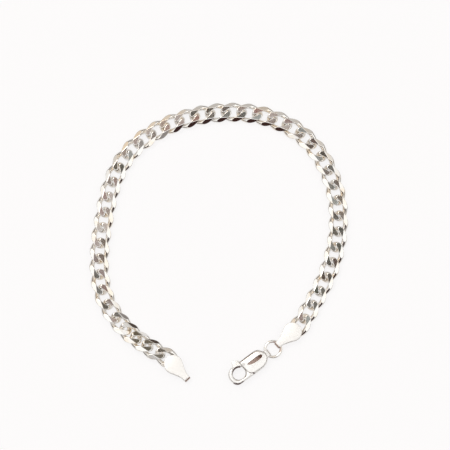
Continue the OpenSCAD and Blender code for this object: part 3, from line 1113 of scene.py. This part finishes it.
class BRACELET_OT_lever(Operator):
    """Make the lever that closes the claw and polish its hinge pin"""

    bl_idname = "bracelet.lever"
    bl_label = "Lever"

    def execute(self, context):
        scene = context.scene
        c = scene.bracelet_clasp
        form = ClaspForm(c)
        hinge = form.hinge
        reach = form.tip_out - hinge.x
        low, high = form.mid - c.lever / 2, form.mid + c.lever / 2

        # Painted shade on the arm's inner side, which faces the opening
        def shaded_inner_side(middle, normal):
            return EDGE_SHADE if normal.y > 0.2 else 0

        bm = bmesh.new()
        add_pebble(bm, disc(hinge, HUB_RADIUS, 40), low, high, 0.08, 0.08, 3)
        piece = scratch("hub", bm)
        outline = [
            (hinge.x, hinge.y - 0.7), (c.casing + 0.2, form.arm_out), (form.tip_out, form.arm_out),
            (form.tip_in, form.arm_in), (c.casing + 0.5, form.arm_in), (hinge.x + 0.5, hinge.y + 0.5),
        ]
        bm = bmesh.new()
        add_pebble(bm, subdivide_loop([Vector(p) for p in outline], 6), low, high, 0.1, 0.1, 3)
        combine(piece, scratch("gate", bm, shaded_inner_side), "UNION")
        bm = bmesh.new()
        add_tube(bm, arm_rows(c, form), closed=False)
        combine(piece, scratch("arm", bm, shaded_inner_side), "UNION")
        bm = bmesh.new()
        loop = smooth_loop([
            (hinge.x + x * reach, form.arm_out - y * c.thumb) for x, y in THUMB_SHARES])
        add_pebble(bm, loop, low, high, 0.2, 0.3, 5)
        combine(piece, scratch("thumb", bm), "UNION")
        bore = prism(disc(hinge, c.pin / 2 + GAP, 32), -1, c.thickness + 1)
        combine(piece, scratch("bore", bore), "DIFFERENCE")
        silver = silver_materials(scene)
        made = finish_boolean(
            piece, "clasp_gate", Places(scene).clasp, [silver["clasp_silver"], silver["edge_shade"]])
        check_place(made, "clasp_lever", SHAPED_FIT)
        dress(made, LEVER_BODY, "clasp_silver", "clasp_lever")
        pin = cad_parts["clasp_pin"]
        pin.data.materials.clear()
        pin.data.materials.append(silver["clasp_silver"])
        return {"FINISHED"}


# Stage

def studio_world(scene):
    """White tent with a dark band near the horizon and a mottled dim patch overhead.

    Directions run from -1 to 1 to the east (+X), to the north (+Y) and up.
    """
    look = scene.bracelet_studio
    world = bpy.data.worlds.new("tent")
    scene.world = world
    world.use_nodes = True
    tree = world.node_tree
    tree.nodes.clear()
    output = tree.nodes.new("ShaderNodeOutputWorld")
    light = tree.nodes.new("ShaderNodeBackground")
    tree.links.new(light.outputs["Background"], output.inputs["Surface"])
    place = tree.nodes.new("ShaderNodeTexCoord")
    axes = tree.nodes.new("ShaderNodeSeparateXYZ")
    tree.links.new(place.outputs["Generated"], axes.inputs["Vector"])
    east, north, height = axes.outputs["X"], axes.outputs["Y"], axes.outputs["Z"]

    def ramp(source, *stops):
        """Colours at stops of position and colour."""
        made = tree.nodes.new("ShaderNodeValToRGB")
        elements = made.color_ramp.elements
        elements[0].position, elements[-1].position = stops[0][0], stops[-1][0]
        for position, _colour in stops[1:-1]:
            elements.new(position)
        for element, (_position, colour) in zip(elements, stops):
            element.color = (*colour, 1)
        tree.links.new(source, made.inputs["Fac"])
        return made.outputs["Color"]

    def mix(factor, a, b):
        """Colour a where the factor is 0 and b where it is 1."""
        made = node(tree, "ShaderNodeMix", data_type="RGBA")
        for socket, value in (("Factor", factor), ("A", a), ("B", b)):
            socket = next(s for s in made.inputs if s.name == socket and s.enabled)
            if isinstance(value, tuple):
                socket.default_value = (*value, 1)
            else:
                tree.links.new(value, socket)
        return next(s for s in made.outputs if s.enabled)

    def reach(source, low, high):
        """Smooth step from 0 at low to 1 at high."""
        made = node(
            tree, "ShaderNodeMapRange", interpolation_type="SMOOTHSTEP", From_Min=low, From_Max=high)
        tree.links.new(source, made.inputs["Value"])
        return made.outputs["Result"]

    def maths(operation, *values):
        """One calculation with sockets or numbers."""
        made = node(tree, "ShaderNodeMath", operation=operation)
        for socket, value in zip(made.inputs, values):
            if isinstance(value, float):
                socket.default_value = value
            else:
                tree.links.new(value, socket)
        return made.outputs["Value"]

    def both(a, b):
        return maths("MULTIPLY", a, b)

    def away(x, y):
        """Square of the distance from a direction, seen from above."""
        return maths(
            "ADD", maths("POWER", maths("SUBTRACT", east, x), 2.0),
            maths("POWER", maths("SUBTRACT", north, y), 2.0))

    def mottle(scale, offset):
        """Cloudy tone that changes with the direction."""
        moved = node(tree, "ShaderNodeMapping", Location=(offset, offset, offset))
        tree.links.new(place.outputs["Generated"], moved.inputs["Vector"])
        noise = node(tree, "ShaderNodeTexNoise", Scale=scale, Detail=1.0)
        tree.links.new(moved.outputs["Vector"], noise.inputs["Vector"])
        return noise.outputs["Fac"]

    # The tent's wall from the horizon up
    tent = ramp(
        height, (0.0, (0.10, 0.08, 0.07)), (0.30, (0.06, 0.045, 0.04)),
        (0.38, (0.7, 0.69, 0.67)), (0.44, (1.15, 1.14, 1.12)), (1.0, (1.1, 1.1, 1.1)))
    # The tent's opening to the south
    opening = both(reach(north, -0.35, -0.55), reach(height, 0.85, 0.7))
    opening = both(opening, reach(maths("ABSOLUTE", east), 0.52, 0.40))
    tent = mix(opening, tent, (0.045, 0.022, 0.02))
    # The dimmer wall to the north
    back = both(reach(north, 0.45, 0.75), reach(height, 0.28, 0.35))
    tent = mix(back, tent, (0.60, 0.57, 0.54))
    # A warm wall to the north north west
    between = both(reach(east, -0.16, -0.26), reach(east, -0.72, -0.6))
    above = both(reach(north, 0.38, 0.5), reach(height, 0.3, 0.4))
    tent = mix(both(between, above), tent, (0.90, 0.74, 0.56))
    # The camera and its surroundings overhead, darker to the east
    lean = 0.139
    tone = mottle(50.0, 3.0)
    pale = ramp(
        tone, (0.38, (0.10, 0.10, 0.075)), (0.435, (0.25, 0.085, 0.085)), (0.455, (0.72, 0.69, 0.65)),
        (0.50, (0.90, 0.88, 0.85)), (0.54, (0.68, 0.66, 0.62)), (0.565, (0.22, 0.20, 0.155)),
        (0.61, (0.25, 0.085, 0.085)))
    dark = ramp(
        tone, (0.36, (0.03, 0.07, 0.05)), (0.43, (0.08, 0.07, 0.07)), (0.475, (0.23, 0.045, 0.045)),
        (0.515, (0.035, 0.10, 0.05)), (0.56, (0.11, 0.085, 0.085)), (0.60, (0.48, 0.51, 0.50)))
    shift = both(maths("SUBTRACT", mottle(20.0, 7.0), 0.5), 0.12)
    slant = both(maths("SUBTRACT", north, lean), -0.4)
    side = maths("ADD", maths("ADD", east, slant), shift)
    overhead = mix(reach(side, -0.012, 0.004), pale, dark)
    high_up = reach(height, 0.5, 0.6)
    tent = mix(both(reach(away(0.0, lean), 0.011, 0.008), high_up), tent, overhead)
    # A dim mottled patch to the north east, seen in the faces of the rolled links
    dim = ramp(
        mottle(9.0, 5.0), (0.40, (0.12, 0.11, 0.09)), (0.47, (0.22, 0.17, 0.12)),
        (0.53, (0.75, 0.72, 0.68)), (0.58, (0.14, 0.12, 0.09)))
    tent = mix(both(reach(away(0.2, 0.43), 0.018, 0.011), high_up), tent, dim)

    rays = tree.nodes.new("ShaderNodeLightPath")
    seen = mix(rays.outputs["Is Camera Ray"], tent, tuple(look.backdrop))
    tree.links.new(seen, light.inputs["Color"])


def table_material(look):
    """Pale table that is partly its own light, so that shadows on it stay faint."""
    material = bpy.data.materials.new("white_table")
    material.use_nodes = True
    tree = material.node_tree
    shader = tree.nodes["Principled BSDF"]
    shader.inputs["Base Color"].default_value = (*(look.shade * c for c in look.table), 1)
    shader.inputs["Roughness"].default_value = 0.9
    shader.inputs["Specular IOR Level"].default_value = 0.1
    shader.inputs["Emission Color"].default_value = (*look.table, 1)
    # The silver mirrors the table dimmer than the camera sees it
    rays = tree.nodes.new("ShaderNodeLightPath")
    glow = node(tree, "ShaderNodeMapRange", To_Min=look.glow, To_Max=look.glow * look.mirrored)
    tree.links.new(rays.outputs["Is Glossy Ray"], glow.inputs["Value"])
    tree.links.new(glow.outputs["Result"], shader.inputs["Emission Strength"])
    return material


class BRACELET_OT_stage(Operator):
    """Make the pale table, the soft light and the camera"""

    bl_idname = "bracelet.stage"
    bl_label = "Stage"

    def execute(self, context):
        scene = context.scene
        look = scene.bracelet_studio
        studio_world(scene)
        bm = bmesh.new()
        bmesh.ops.create_circle(bm, cap_ends=True, segments=96, radius=1.2)
        mesh = bpy.data.meshes.new("table")
        bm.to_mesh(mesh)
        bm.free()
        table = bpy.data.objects.new("table", mesh)
        scene.collection.objects.link(table)
        mesh.materials.append(table_material(look))

        lamp = bpy.data.lights.new("softbox", "SUN")
        lamp.energy = 0.5
        lamp.angle = math.radians(25)
        lamp.color = (1.0, 0.98, 0.95)
        softbox = bpy.data.objects.new("softbox", lamp)
        softbox.rotation_euler = Vector((-0.45, 0.5, 1.0)).to_track_quat("Z", "Y").to_euler()
        scene.collection.objects.link(softbox)

        data = bpy.data.cameras.new("camera")
        data.sensor_width = 36.0
        data.lens = data.sensor_width * look.distance / look.view_width
        data.clip_start = 0.01
        data.clip_end = 10.0
        camera = bpy.data.objects.new("camera", data)
        back = Vector((0, -math.cos(look.elevation), math.sin(look.elevation)))
        camera.location = Vector(look.aim) + back * look.distance
        camera.rotation_euler = (-back).to_track_quat("-Z", "Y").to_euler()
        scene.collection.objects.link(camera)
        scene.camera = camera
        scene.view_settings.view_transform = "Standard"
        return {"FINISHED"}


class BRACELET_PT_panel(Panel):
    bl_idname = "BRACELET_PT_panel"
    bl_label = "Curb Link Bracelet"
    bl_space_type = "VIEW_3D"
    bl_region_type = "UI"
    bl_category = "Bracelet"

    def draw(self, context):
        layout = self.layout
        for title, group, operators in PANEL_ROWS:
            box = layout.box()
            box.label(text=title)
            settings = getattr(context.scene, group)
            for key in settings.bl_rna.properties.keys():
                if key not in ("rna_type", "name"):
                    box.prop(settings, key)
            for operator in operators:
                box.operator(operator.bl_idname)


PANEL_ROWS = (
    ("Chain", "bracelet_chain", (BRACELET_OT_links,)),
    ("End tabs", "bracelet_tabs", (BRACELET_OT_end_tabs,)),
    ("Jump ring", "bracelet_ring", (BRACELET_OT_jump_ring,)),
    ("Clasp", "bracelet_clasp", (BRACELET_OT_clasp, BRACELET_OT_lever)),
    ("Silver", "bracelet_silver", ()),
    ("Stage", "bracelet_studio", (BRACELET_OT_stage,)),
)
GROUPS = {
    "bracelet_chain": ChainSizes,
    "bracelet_tabs": TabSizes,
    "bracelet_ring": RingSizes,
    "bracelet_clasp": ClaspSizes,
    "bracelet_silver": SilverLook,
    "bracelet_studio": StudioLook,
}
OPERATORS = (
    BRACELET_OT_links,
    BRACELET_OT_end_tabs,
    BRACELET_OT_jump_ring,
    BRACELET_OT_clasp,
    BRACELET_OT_lever,
    BRACELET_OT_stage,
)


def register():
    for group in GROUPS.values():
        bpy.utils.register_class(group)
    for operator in OPERATORS:
        bpy.utils.register_class(operator)
    bpy.utils.register_class(BRACELET_PT_panel)
    for name, group in GROUPS.items():
        setattr(bpy.types.Scene, name, PointerProperty(type=group))


def unregister():
    for name in GROUPS:
        delattr(bpy.types.Scene, name)
    bpy.utils.unregister_class(BRACELET_PT_panel)
    for operator in reversed(OPERATORS):
        bpy.utils.unregister_class(operator)
    for group in reversed(list(GROUPS.values())):
        bpy.utils.unregister_class(group)


def main():
    """Makes every piece."""
    register()
    bpy.ops.bracelet.stage()
    bpy.ops.bracelet.links()
    bpy.ops.bracelet.end_tabs()
    bpy.ops.bracelet.jump_ring()
    bpy.ops.bracelet.clasp()
    bpy.ops.bracelet.lever()


if __name__ == "__main__":
    main()
